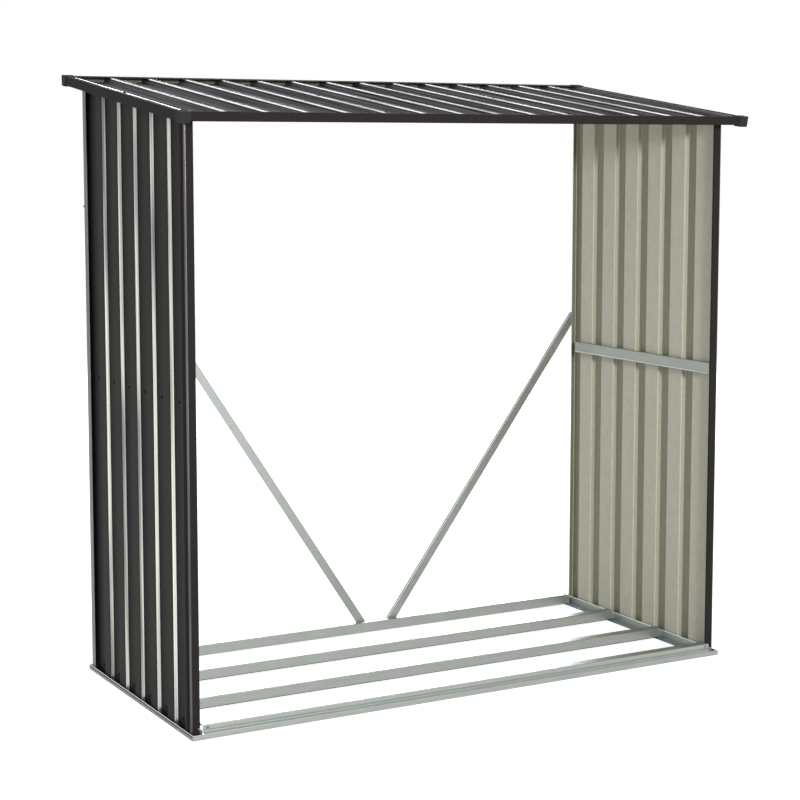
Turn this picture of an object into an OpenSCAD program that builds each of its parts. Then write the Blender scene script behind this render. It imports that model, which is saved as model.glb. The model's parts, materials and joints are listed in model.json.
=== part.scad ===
// Pent roof log store: a galvanised base frame, two ribbed sheet side walls,
// an open front and back, and a ribbed sheet roof that falls to the front.
// X runs along the width, Y from front to back, Z up from the ground.
// The origin is on the ground, under the middle of the roof.

/* [Roof] */
// Width over the roof trims
roof_w = 1630; // [1400:5:2000]
// Depth over the roof trims, measured level
roof_d = 806; // [720:2:900]
// Height of the roof at the back
h_back = 1585; // [1400:5:1800]
// Fall of the roof from back to front, in degrees
roof_slope = 7.6; // [5:0.05:10]
// Number of ribs across the roof
roof_ribs = 16; // [13:1:19]
// Height of a roof rib
roof_rib_h = 15; // [10:1:18]
// Height of the trim along each sloping edge
rake_h = 24; // [23:1:34]
// Height of the trim along the front and back edges
fascia_h = 22; // [20:1:26]
// Width of a corner cap, each way
cap_w = 30; // [28:1:44]

/* [Base] */
// Width of the base frame over its lips
base_w = 1566; // [1350:2:1930]
// Depth of the base frame over its lips
base_d = 712; // [640:2:800]
// Height of the front rail
rail_h = 34; // [30:1:40]
// Height of the outer lip all round the base
lip_h = 13; // [10:1:16]
// Height of the upstand along a side rail
web_h = 22; // [18:1:26]
// Height of a floor beam, from the side rails' bottom flange
beam_h = 28; // [24:1:30]
// Diameter of an anchor hole in a side rail
anchor_d = 8; // [6:0.5:8]

/* [Walls] */
// How far a wall rib stands out
wall_rib_h = 10; // [8:0.5:11]
// Distance from one wall rib to the next
wall_pitch = 109; // [90:1:112]
// Width of a front post's face
post_w = 24; // [20:1:28]
// Width of a back post's face
back_post_w = 17; // [14:1:22]
// Middle of the mid rail above the ground
mid_rail_z = 797; // [600:5:1000]
// Width of a brace
brace_w = 25; // [20:1:30]

/* [Hidden] */

$fn = 48;

anthracite = "#37383b";
galvanised = "#b4bab6";

sheet = 1.2;      // thickness of the folded frame parts
skin = 1;         // thickness of the ribbed sheets
cap_skin = 2.5;   // wall of a corner cap
gap = 1;          // room left between neighbours that don't touch

// Base frame
step_out = 5;         // the front rail's lip stands this far before its upper face
groove_h = 5;         // height of the sloping step between the two faces
front_foot = 22;      // bottom flange of the front rail
rail_flange = 29;     // depth of the front rail's top flange
rail_return = 8;      // turned down edge of a rail's or beam's top flange
seat_w = 47;          // bottom flange of a side rail, from the lip inwards
web_x = 22;           // a side rail's upstand, inwards from the lip
web_fold = 2.6;       // hollow of that folded upstand
back_web = 28;        // back rail's web, inwards from the lip
beam_end = 30;        // beams end this far in from the lip
beam_flange = 28;     // depth of a beam's top flange
beam_foot = 14;       // bottom flange of a beam
beam_gap = 232;       // from one beam's face to the next
beam_front = -131;    // face of the front floor beam
anchor_inset = 90;    // anchor holes, in from the front and the back of the base

// Posts and walls
post_out = base_w / 2 - 4;                // outer face of the posts
post_in = post_out - post_w;              // inner face of the front posts
post_front = -base_d / 2 + 20;            // front face of the front posts
post_back = base_d / 2 - 10;              // back face of the back posts
post_return = 25;                         // depth of a post's outer side
post_hem = 5;                             // depth of a post's inner side
wall_x = post_out - sheet;                // outer face of the wall ribs
pan_x = wall_x - wall_rib_h;              // outer face of the flat pans
wall_y0 = post_front + sheet;             // the wall sheet's front edge
wall_y1 = post_back - sheet;              // the wall sheet's back edge
rib_top = 40;                             // width of a wall rib's outer face
rib_foot = 50;                            // width of a wall rib at the pan
lap = 38;                                 // what a wall sheet keeps of its first rib's face
wall_ribs = floor((wall_y1 - wall_y0 - lap) / wall_pitch);
rail_d = pan_x - skin - post_in;          // depth of the mid and top rails
rail_stop = 32;                           // the mid rail ends this far before the back edge
mid_rail_h = 29;
top_rail_h = 10;                          // shallow enough to hide behind the fascia
lip_turn = 4;                             // lower edge turned out from a mid or top rail
back_leg = 6;                             // edge turned down against the wall

// Roof, in its own sloping frame: y along the fall, z square to the sheet
fall_cos = cos(roof_slope);
fall_sin = sin(roof_slope);
cap_h = rake_h + 2 * cap_skin;
roof_len = (roof_d - cap_h * fall_sin) / fall_cos;
h_front = h_back - roof_len * fall_sin;
rib_pitch = (roof_w - 43) / (roof_ribs - 1);
rib_top_z = -cap_skin - sheet;
under_z = rib_top_z - roof_rib_h - skin;  // underside of the roof's flat pans
roof_rib_top = 12;                        // width of a roof rib's top
roof_rib_foot = 26;                       // width of a roof rib's foot
sheet_gap = 4;                            // sheet ends stand back from the trims
trim_flange = 14;                         // top flange of the rake trims and the fascia
back_flange = 36;                         // top flange of the back trim
trim_foot = 28;                           // bottom flange of the front and back trims
trim_x = roof_w / 2 - cap_skin;           // outer face of the rake trims
trim_start = cap_skin + trim_flange + 0.5; // a trim starts this far in from the corner
rake_foot = 26;                           // bottom flange of the rake trims
rake_upturn = 6;                          // upturned edge of that flange
front_rail_h = 10;                        // hides behind the fascia too
back_rail_h = 30;

// ---- helpers -------------------------------------------------------------

function unit(v) = v / norm(v);
function side_of(a, b) = let (d = unit(b - a)) [-d.y, d.x];

// Direction that keeps the sheet's thickness round a fold
function fold_side(path, i) =
    i == 0 ? side_of(path[0], path[1]) :
    i == len(path) - 1 ? side_of(path[i - 1], path[i]) :
    let (a = side_of(path[i - 1], path[i]), b = side_of(path[i], path[i + 1]))
    (a + b) / (1 + a * b);

// Outline of a sheet of thickness t, folded along the path, to the path's left
function folded(path, t) = concat(
    path,
    [for (i = [len(path) - 1 : -1 : 0]) path[i] + t * fold_side(path, i)]
);

module fold(path, t = sheet) polygon(folded(path, t));

// A profile drawn as [y, z], carried along X
module along_x(length) rotate([90, 0, 90]) linear_extrude(length, center = true) children();

// A profile drawn as [x, z], carried along Y from 0 to length
module along_y(length) translate([0, length, 0]) rotate([90, 0, 0]) linear_extrude(length) children();

// The roof's sloping frame, from its front edge
module on_roof() translate([0, -roof_d / 2, h_front]) rotate([roof_slope, 0, 0]) children();

// Everything above the underside of the roof sheet
module above_roof_sheet() on_roof() translate([-roof_w, -roof_d, under_z])
    cube([2 * roof_w, 3 * roof_d, h_back]);

module other_side() mirror([1, 0, 0]) children();

// Cutter for both ends of a rail, beyond x each way
module past_ends(x, y0, y1, z0, z1)
    for (side = [-1, 1])
        translate([side > 0 ? x : -x - base_w, y0, z0]) cube([base_w, y1 - y0, z1 - z0]);

// ---- base frame ----------------------------------------------------------

module front_base_rail() color(galvanised) {
    y0 = -base_d / 2;
    y_upper = y0 + step_out;
    path = [
        [y0 + front_foot, 0], [y0, 0], [y0, lip_h], [y_upper, lip_h + groove_h], [y_upper, rail_h],
        [y_upper + rail_flange, rail_h], [y_upper + rail_flange, rail_h - rail_return]
    ];
    difference() {
        along_x(base_w) fold(path, -sheet);
        past_ends(base_w / 2 - seat_w, y0 + sheet, y0 + 2 * front_foot, -gap, sheet + gap);
        past_ends(post_in - gap, y0 - gap, y0 + 2 * rail_flange, lip_h, rail_h + gap);
    }
}

module back_base_rail() color(galvanised) {
    y1 = base_d / 2;
    web_y = y1 - back_web;
    top = beam_h + sheet;
    path = [
        [post_back, top - rail_return], [post_back, top], [web_y, top], [web_y, 0], [y1, 0], [y1, lip_h]
    ];
    difference() {
        along_x(base_w) fold(path);
        past_ends(base_w / 2 - seat_w, web_y - gap, y1 - sheet, -gap, sheet);
        past_ends(base_w / 2 - beam_end, web_y - gap, y1 - sheet, -gap, rail_h);
    }
}

// Bottom flange, outer lip and a narrow folded upstand between them
module side_base_rail() color(galvanised) {
    x0 = -base_w / 2;
    length = base_d - 2 * sheet;
    hole_x = x0 + (web_x + web_fold + sheet + seat_w) / 2;
    path = [
        [x0 + seat_w, 0], [x0 + web_x + web_fold, 0], [x0 + web_x + web_fold, web_h - sheet],
        [x0 + web_x, web_h - sheet], [x0 + web_x, 0], [x0, 0], [x0, lip_h]
    ];
    difference() {
        translate([0, -length / 2, 0]) along_y(length) fold(path, -sheet);
        for (y = [-1, 1] * (base_d / 2 - anchor_inset))
            translate([hole_x, y, -gap]) cylinder(d = anchor_d, h = sheet + 2 * gap);
    }
}

module left_base_rail() side_base_rail();
module right_base_rail() other_side() side_base_rail();

module floor_beam(face_y) color(galvanised) {
    top = sheet + beam_h;
    path = [
        [face_y + beam_flange, top - rail_return], [face_y + beam_flange, top],
        [face_y, top], [face_y, sheet], [face_y + beam_foot, sheet]
    ];
    along_x(base_w - 2 * beam_end) fold(path);
}

module front_floor_beam() floor_beam(beam_front);
module back_floor_beam() floor_beam(beam_front + beam_gap);

// ---- side walls ----------------------------------------------------------

// Outer line of a wall sheet in plan, as [y, distance out from the pans]. It starts on the face
// of a rib at edge y0 and runs the given way, 1 to the back or -1 to the front, to edge y1.
function rib_points(at, way) = [
    [at - way * rib_foot / 2, 0], [at - way * rib_top / 2, wall_rib_h],
    [at + way * rib_top / 2, wall_rib_h], [at + way * rib_foot / 2, 0]
];
function wall_path(y0, y1, way) = concat(
    [[y0, wall_rib_h], [y0 + way * lap, wall_rib_h], [y0 + way * (lap + (rib_foot - rib_top) / 2), 0]],
    [for (i = [1 : wall_ribs]) each rib_points(y0 + way * (lap - rib_top / 2 + i * wall_pitch), way)],
    [[y1, 0]]
);

module wall_sheet(y0, y1, way) color(anthracite) difference() {
    translate([0, 0, sheet]) linear_extrude(h_back)
        polygon(folded([for (p = wall_path(y0, y1, way)) [-pan_x - p.y, p.x]], -way * skin));
    above_roof_sheet();
}

// Both walls are the same pressing, so the right one is turned and not mirrored
module left_wall_sheet() wall_sheet(wall_y0, wall_y1, 1);
module right_wall_sheet() other_side() wall_sheet(wall_y1, wall_y0, -1);

// A post wraps one upright edge of the wall sheet and straddles the side rail's upstand
module post(face_y, inward, width) color(anthracite) difference() {
    path = [
        [width - post_out, face_y + inward * post_hem], [width - post_out, face_y],
        [-post_out, face_y], [-post_out, face_y + inward * post_return]
    ];
    translate([0, 0, sheet]) linear_extrude(h_back) polygon(folded(path, -inward * sheet));
    above_roof_sheet();
    translate([web_x - base_w / 2 - sheet - gap, -base_d, 0]) cube([2 * post_w, 2 * base_d, web_h + gap]);
}

module front_left_post() post(post_front, 1, post_w);
module front_right_post() other_side() post(post_front, 1, post_w);
module back_left_post() post(post_back, -1, back_post_w);
module back_right_post() other_side() post(post_back, -1, back_post_w);

// Channel against the inside of the wall, open downwards, top at z = 0
module wall_rail_profile(height) fold([
    [lip_turn - post_in, -height], [-post_in, -height], [-post_in, 0],
    [-post_in - rail_d, 0], [-post_in - rail_d, -back_leg]
]);

rail_y0 = post_front + post_hem + gap;    // front end of the mid and top rails

module mid_rail() color(galvanised) translate([0, rail_y0, mid_rail_z + mid_rail_h / 2])
    along_y(wall_y1 - rail_stop - rail_y0) wall_rail_profile(mid_rail_h);

module left_mid_rail() mid_rail();
module right_mid_rail() other_side() mid_rail();

// A level place y as a place along the roof's fall
function along_fall(y) = (y + roof_d / 2) / fall_cos;

// The same channel, laid along the fall under the roof sheet
module top_rail() color(galvanised) {
    y_end = along_fall(wall_y1 - 2 * post_hem);
    on_roof() translate([0, along_fall(rail_y0), under_z]) along_y(y_end - along_fall(rail_y0))
        wall_rail_profile(top_rail_h);
}

module left_top_rail() top_rail();
module right_top_rail() other_side() top_rail();

// ---- roof ----------------------------------------------------------------

// Channel across the open front or back, under the roof sheet
module roof_rail(face_y, inward, height) color(galvanised) {
    y0 = along_fall(face_y);
    path = [
        [y0 + inward * post_return, -height], [y0, -height], [y0, 0],
        [y0 + inward * post_return, 0], [y0 + inward * post_return, -rail_return]
    ];
    on_roof() translate([0, 0, under_z]) along_x(2 * (post_in - lip_turn - gap))
        fold(path, -inward * sheet);
}

module front_roof_rail() roof_rail(post_front + post_hem, 1, front_rail_h);
module back_roof_rail() roof_rail(post_back - 2 * post_hem, -1, back_rail_h);

// Sheets meet on the face of a rib, and the outer two run on under the rake trims
function roof_rib_x(i) = (i - (roof_ribs - 1) / 2) * rib_pitch;
function right_half(x) = [[x + roof_rib_top / 2, roof_rib_h], [x + roof_rib_foot / 2, 0]];
function left_half(x) = [[x - roof_rib_foot / 2, 0], [x - roof_rib_top / 2, roof_rib_h]];
function roof_path(first, last, x0, x1) = concat(
    [[x0, roof_rib_h]], right_half(roof_rib_x(first)),
    [for (i = [first + 1 : last - 1]) each concat(left_half(roof_rib_x(i)), right_half(roof_rib_x(i)))],
    left_half(roof_rib_x(last)), [[x1, roof_rib_h]]
);

module roof_sheet(first, last) color(anthracite) {
    x0 = first == 0 ? sheet_gap - trim_x : roof_rib_x(first);
    x1 = last == roof_ribs - 1 ? trim_x - sheet_gap : roof_rib_x(last);
    path = [for (p = roof_path(first, last, x0, x1)) [p.x, p.y + rib_top_z - roof_rib_h]];
    on_roof() translate([0, sheet_gap, 0]) along_y(roof_len - 2 * sheet_gap) fold(path, -skin);
}

ribs_a = floor((roof_ribs - 1) / 3);      // rib where the left and the middle sheet meet
ribs_b = 2 * ribs_a;                      // rib where the middle and the right sheet meet

module left_roof_sheet() roof_sheet(0, ribs_a);
module middle_roof_sheet() roof_sheet(ribs_a, ribs_b);
module right_roof_sheet() roof_sheet(ribs_b, roof_ribs - 1);

module rake_trim() color(anthracite) {
    z0 = -cap_skin;
    path = [
        [trim_flange - trim_x, z0], [-trim_x, z0], [-trim_x, z0 - rake_h],
        [rake_foot - trim_x, z0 - rake_h], [rake_foot - trim_x, z0 - rake_h + rake_upturn]
    ];
    on_roof() translate([0, trim_start, 0]) along_y(roof_len - 2 * trim_start) fold(path);
}

module left_rake_trim() rake_trim();
module right_rake_trim() other_side() rake_trim();

// Front or back edge trim as [y along the fall, z], drawn for the front
function edge_trim(flange) = [
    [cap_skin + flange, -cap_skin], [cap_skin, -cap_skin], [cap_skin, -cap_skin - fascia_h],
    [cap_skin + trim_foot, -cap_skin - fascia_h], [cap_skin + trim_foot, under_z]
];

module front_fascia() color(anthracite)
    on_roof() along_x(roof_w - 2 * trim_start) fold(edge_trim(trim_flange));

module back_trim() color(anthracite)
    on_roof() along_x(roof_w - 2 * trim_start)
        fold([for (p = edge_trim(back_flange)) [roof_len - p.x, p.y]], -sheet);

// Moulded cap over a corner of the roof, open towards the middle
module corner_cap() color(anthracite) difference() {
    translate([-roof_w / 2, 0, -cap_h]) cube([cap_w, cap_w, cap_h]);
    translate([-trim_x, cap_skin, cap_skin - cap_h]) cube([cap_w, cap_w, cap_h - 2 * cap_skin]);
}

module back_cap() on_roof() translate([0, roof_len, 0]) mirror([0, 1, 0]) corner_cap();

module front_left_cap() on_roof() corner_cap();
module front_right_cap() other_side() on_roof() corner_cap();
module back_left_cap() back_cap();
module back_right_cap() other_side() back_cap();

// ---- braces --------------------------------------------------------------

brace_lip = 6;      // turned edge along the upper side of a brace
foot_z = 20;        // a brace starts this high, on the back rail
brace_head = 8;     // a brace ends this far in from the post's outer face

// A strip across the open back, from its foot on the back rail up to a post
module brace(foot_x, head_x, head_z) color(galvanised) {
    run = [head_x - foot_x, head_z - foot_z];
    upper_side = foot_x > head_x ? -1 : 1;
    translate([foot_x, post_back, foot_z]) rotate([0, -atan2(run.y, run.x), 0]) {
        translate([0, 0, -brace_w / 2]) cube([norm(run), sheet, brace_w]);
        translate([0, sheet, upper_side * (brace_w - sheet) / 2 - sheet / 2])
            cube([norm(run), brace_lip - sheet, sheet]);
    }
}

module left_brace() brace(44, brace_head - post_out, 1250);
module right_brace() brace(133, post_out - brace_head, 892);

// ---- drawing -------------------------------------------------------------

front_base_rail();
back_base_rail();
left_base_rail();
right_base_rail();
front_floor_beam();
back_floor_beam();
left_wall_sheet();
right_wall_sheet();
front_left_post();
front_right_post();
back_left_post();
back_right_post();
left_mid_rail();
right_mid_rail();
left_top_rail();
right_top_rail();
front_roof_rail();
back_roof_rail();
left_brace();
right_brace();
left_roof_sheet();
middle_roof_sheet();
right_roof_sheet();
left_rake_trim();
right_rake_trim();
front_fascia();
back_trim();
front_left_cap();
front_right_cap();
back_left_cap();
back_right_cap();
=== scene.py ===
"""Looks of a steel log store: folded galvanised base, ribbed side walls and a ribbed pent roof."""
import json
import math

import bmesh
import bpy
from bpy.props import FloatProperty, FloatVectorProperty, IntProperty, PointerProperty
from mathutils import Matrix, Vector


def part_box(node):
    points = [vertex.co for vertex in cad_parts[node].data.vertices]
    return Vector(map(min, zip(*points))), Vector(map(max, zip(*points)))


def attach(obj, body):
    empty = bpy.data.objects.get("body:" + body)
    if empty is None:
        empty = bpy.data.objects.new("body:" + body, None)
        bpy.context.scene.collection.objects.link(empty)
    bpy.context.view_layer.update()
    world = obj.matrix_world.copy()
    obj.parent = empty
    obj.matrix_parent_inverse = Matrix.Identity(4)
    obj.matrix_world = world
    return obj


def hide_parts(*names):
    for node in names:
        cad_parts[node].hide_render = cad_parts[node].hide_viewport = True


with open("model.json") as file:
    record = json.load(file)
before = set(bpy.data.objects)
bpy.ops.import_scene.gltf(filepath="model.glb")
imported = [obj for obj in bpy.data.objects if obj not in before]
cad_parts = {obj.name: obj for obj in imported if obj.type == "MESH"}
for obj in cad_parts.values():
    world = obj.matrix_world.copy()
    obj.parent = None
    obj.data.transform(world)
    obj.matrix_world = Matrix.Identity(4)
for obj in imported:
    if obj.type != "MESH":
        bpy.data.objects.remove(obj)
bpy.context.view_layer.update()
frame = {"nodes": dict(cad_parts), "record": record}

bl_info = {
    "name": "Log Store",
    "version": (1, 0, 0),
    "blender": (4, 5, 0),
    "location": "View3D > Sidebar > Log Store",
    "description": "Rolled steel pieces, screws and finishes of a pent roof log store",
    "category": "Object",
}

MM = 0.001

# ---- sizes shared by several pieces, in metres -----------

GAUGE = 1.0 * MM            # folded frame parts
SKIN = 0.8 * MM             # ribbed sheets
LIP = 13 * MM               # outer lip all round the base
FLANGE_TURN = 8 * MM        # turned down edge of the rails and beams
SIDE_SEAT = 47 * MM         # bottom flange of a side rail, from its lip
HEM = 6 * MM                # folded back edge of a side rail's lip
RIB_PITCH = 109 * MM        # walls: one rib to the next
RIB_FACE, RIB_FOOT = 40 * MM, 50 * MM
LAP_FACE = 38 * MM          # walls: what is left of the first rib's face
CROWN, CROWN_FOOT = 12 * MM, 26 * MM    # roof: a rib's top and its foot
ROOF_RIBS = 16
ROOF_SHEETS = {"left_roof_sheet": (0, 5), "middle_roof_sheet": (5, 10), "right_roof_sheet": (10, 15)}
CAD_SKIN = 1 * MM           # the ribbed sheets as the CAD has them
PAST = 10 * MM              # how far a cutter reaches past what it cuts
SEED = 5.0                  # picks which ribs come out bright
SCREW_TURN = math.radians(37)   # from one screw's cross to the next one's
MID_HEIGHT = sum(v.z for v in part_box("left_mid_rail")) / 2


# ---- places from the frame -------------------------------

def fall_frame():
    """The roof's sloping frame, y up the fall from the front edge and z square to the sheet."""
    (front_lo, front_hi), (back_lo, back_hi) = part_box("front_left_cap"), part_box("back_left_cap")
    run = (back_lo + back_hi - front_lo - front_hi) / 2
    slope = math.atan2(run.z, run.y)
    size = front_hi - front_lo
    height = (size.z - size.x * math.sin(slope)) / math.cos(slope)
    turn = Matrix.Rotation(slope, 4, "X")
    corner = (front_lo + front_hi) / 2 + turn.to_3x3() @ Vector((0, -size.x / 2, height / 2))
    return Matrix.Translation((0, corner.y, corner.z)) @ turn, slope


FALL, SLOPE = fall_frame()


def fall_box(node):
    """A node's lowest and highest corners in the roof's sloping frame."""
    inverse = FALL.inverted()
    points = [inverse @ vertex.co for vertex in frame["nodes"][node].data.vertices]
    return Vector(map(min, zip(*points))), Vector(map(max, zip(*points)))


UNDER = fall_box("middle_roof_sheet")[0].z


def roof_underside(y):
    """Height of the roof sheet's underside at a level place y."""
    origin = FALL.translation
    along = (y - origin.y + UNDER * math.sin(SLOPE)) / math.cos(SLOPE)
    return origin.z + along * math.sin(SLOPE) + UNDER * math.cos(SLOPE)


def rib_x(index):
    """Middle of a roof rib."""
    lo, hi = fall_box("middle_roof_sheet")
    first, last = ROOF_SHEETS["middle_roof_sheet"]
    pitch = (hi.x - lo.x) / (last - first)
    return (index - (ROOF_RIBS - 1) / 2) * pitch


# ---- colour and nodes ------------------------------------

def linear(hex_colour):
    """An sRGB hex colour as linear RGBA."""
    channels = [int(hex_colour[i:i + 2], 16) / 255 for i in (0, 2, 4)]
    return (*[c / 12.92 if c <= 0.04045 else ((c + 0.055) / 1.055) ** 2.4 for c in channels], 1.0)


def tinted(colour, factor):
    """The same colour, darker or paler."""
    return (*[c * factor for c in colour[:3]], 1.0)


def add(tree, kind, inputs=None, **settings):
    """Adds a node with its settings. An input is a value, a socket to link, or a node, whose
    first output in use is linked."""
    node = tree.nodes.new(f"ShaderNode{kind}")
    for key, value in settings.items():
        setattr(node, key, value)
    for key, value in (inputs or {}).items():
        if isinstance(value, bpy.types.Node):
            value = next(socket for socket in value.outputs if socket.enabled)
        if isinstance(value, bpy.types.NodeSocket):
            tree.links.new(value, node.inputs[key])
        else:
            node.inputs[key].default_value = value
    return node


def emptied(owner):
    """The bare node tree of a material or world."""
    owner.use_nodes = True
    owner.node_tree.nodes.clear()
    return owner.node_tree


def blank(name, tilt=0.0):
    """A material, its bare tree, and object coordinates turned down by tilt about X."""
    material = bpy.data.materials.new(name)
    tree = emptied(material)
    place = add(tree, "TexCoord").outputs["Object"]
    if tilt:
        place = add(tree, "Mapping", {"Vector": place, "Rotation": (-tilt, 0, 0)})
    return material, tree, place


def finished(material, tree, sockets):
    """Gives a material its surface. sockets are what its Principled shader takes."""
    surface = add(tree, "BsdfPrincipled", sockets)
    add(tree, "OutputMaterial", {"Surface": surface})
    return material


def pattern(tree, place, kind, sizes, inputs=None, **settings):
    """Lays a texture of the given kind whose cells have these real sizes along X, Y and Z."""
    scale = tuple(1 / size for size in sizes)
    sized = add(tree, "Mapping", {"Vector": place, "Scale": scale})
    return add(tree, kind, {"Vector": sized, **(inputs or {})}, **settings)


def toned(tree, value, start, end, low, high, most=1.0):
    """Goes from one colour to another as value goes from start to end. most is the greatest
    share of the second. A Mix node's sockets go by position: 0 is the share, 6 and 7 the colours."""
    share = add(tree, "MapRange", {"Value": value, "From Min": start, "From Max": end, "To Max": most})
    return add(tree, "Mix", {0: share, 6: low, 7: high}, data_type="RGBA")


# ---- finishes --------------------------------------------

def galvanised_steel(name, colour, grain):
    """Hot-dip galvanised strip: soft mirror, faint spangle and rolling streaks along the strip."""
    material, tree, place = blank(name)
    streak_sizes = [2.5 * MM] * 3
    streak_sizes["XYZ".index(grain)] = 400 * MM
    spangle = pattern(tree, place, "TexVoronoi", (9 * MM,) * 3)
    streaks = pattern(tree, place, "TexNoise", streak_sizes, {"Detail": 3.0})
    cloud = pattern(tree, place, "TexNoise", (120 * MM,) * 3, {"Detail": 2.0})
    grains = add(tree, "SeparateColor", {"Color": spangle.outputs["Color"]})
    pale = toned(tree, grains, 0.0, 1.0, tinted(colour, 0.95), tinted(colour, 1.05))
    shade = toned(tree, streaks, 0.35, 0.65, tinted(colour, 0.70), tinted(colour, 1.15))
    both = add(tree, "Mix", {0: 0.65, 6: pale, 7: shade}, data_type="RGBA")
    dulled = toned(tree, cloud, 0.45, 0.75, both, tinted(colour, 0.88), 0.5)
    roughness = add(tree, "MapRange", {"Value": grains, "To Min": 0.40, "To Max": 0.50})
    ripple = add(tree, "Bump", {"Height": streaks, "Strength": 0.08, "Distance": 0.3 * MM})
    return finished(material, tree, {
        "Base Color": dulled, "Metallic": 1.0, "Roughness": roughness, "Normal": ripple})


def coil_coat(name, colour, middle_roughness, gloss):
    """Coil coated polyester: even and nearly matt, with a fine orange peel and slight clouding."""
    material, tree, place = blank(name)
    cloud = pattern(tree, place, "TexNoise", (90 * MM,) * 3, {"Detail": 3.0})
    peel = pattern(tree, place, "TexNoise", (1.6 * MM,) * 3, {"Detail": 2.0})
    runs = pattern(tree, place, "TexNoise", (14 * MM, 14 * MM, 500 * MM), {"Detail": 3.0})
    even = toned(tree, cloud, 0.3, 0.7, tinted(colour, 0.95), tinted(colour, 1.05))
    washed = toned(tree, runs, 0.5, 0.8, even, tinted(colour, 1.12), 0.35)
    low, high = middle_roughness - 0.04, middle_roughness + 0.04
    roughness = add(tree, "MapRange", {"Value": cloud, "To Min": low, "To Max": high})
    bump = add(tree, "Bump", {"Height": peel, "Strength": 0.15, "Distance": 0.1 * MM})
    return finished(material, tree, {
        "Base Color": washed, "Roughness": roughness, "Specular IOR Level": gloss, "Normal": bump})


def shade_lined_coat(name, colour):
    """Roof coat: matt polyester with dark and pale lines down the fall, painted shade and highlight that
    stand in for the light on fine ribbing.
    """
    material, tree, place = blank(name, SLOPE)
    lines = pattern(tree, place, "TexNoise", (16 * MM, 2500 * MM, 3.6 * MM), {"Detail": 1.0})
    broad = pattern(tree, place, "TexNoise", (120 * MM, 900 * MM, 60 * MM), {"Detail": 1.0})
    shades = toned(tree, lines, 0.45, 0.55, tinted(colour, 0.08), tinted(colour, 2.2))
    calmed = toned(tree, broad, 0.40, 0.65, shades, colour, 0.5)
    return finished(material, tree, {"Base Color": calmed, "Roughness": 0.6, "Specular IOR Level": 0.1})


def painted_highlight_coat(name, colour, sizes, streak_low, rib_low, tilt=0.0):
    """Painted highlight along flanks and folds: a pale, metallic coat in streaks stands in for the light
    that the dark paint throws back.

    sizes is a streak's real size, and the lows are the darkest tones, within a streak and from
    one rib to the next."""
    material, tree, place = blank(name, tilt)
    rib_sizes = [max(size, 80 * MM) for size in sizes]
    streaks = pattern(tree, place, "TexNoise", sizes, {"Detail": 2.0})
    ribs = pattern(tree, place, "TexNoise", rib_sizes, {"W": SEED, "Detail": 1.0}, noise_dimensions="4D")
    start, end = 0.38, 0.6
    fine = toned(tree, streaks, start, end, tinted(colour, streak_low), tinted(colour, 1.25))
    wide = toned(tree, ribs, 0.36, 0.54, tinted(colour, rib_low), fine)
    roughness = add(tree, "MapRange", {
        "Value": streaks, "From Min": start, "From Max": end, "To Min": 0.22, "To Max": 0.36})
    return finished(material, tree, {"Base Color": wide, "Metallic": 0.75, "Roughness": roughness})


def moulded_plastic(name, colour):
    """Injection moulded polypropylene: matt, with a fine eroded grain."""
    material, tree, place = blank(name)
    grain = pattern(tree, place, "TexVoronoi", (0.9 * MM,) * 3)
    start, end = 0.1, 0.7
    shade = toned(tree, grain, start, end, tinted(colour, 0.95), tinted(colour, 1.06))
    roughness = add(tree, "MapRange", {
        "Value": grain, "From Min": start, "From Max": end, "To Min": 0.52, "To Max": 0.62})
    bump = add(tree, "Bump", {"Height": grain, "Strength": 0.2, "Distance": 0.1 * MM})
    return finished(material, tree, {
        "Base Color": shade, "Roughness": roughness, "IOR": 1.49, "Specular IOR Level": 0.12,
        "Normal": bump})


def zinc_screw(name, colour):
    """Zinc plated steel: bright, a little uneven from the plating bath."""
    material, tree, place = blank(name)
    cloud = pattern(tree, place, "TexNoise", (2 * MM,) * 3)
    shade = toned(tree, cloud, 0.0, 1.0, tinted(colour, 0.85), colour)
    roughness = add(tree, "MapRange", {"Value": cloud, "To Min": 0.25, "To Max": 0.4})
    return finished(material, tree, {"Base Color": shade, "Metallic": 1.0, "Roughness": roughness})


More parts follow.
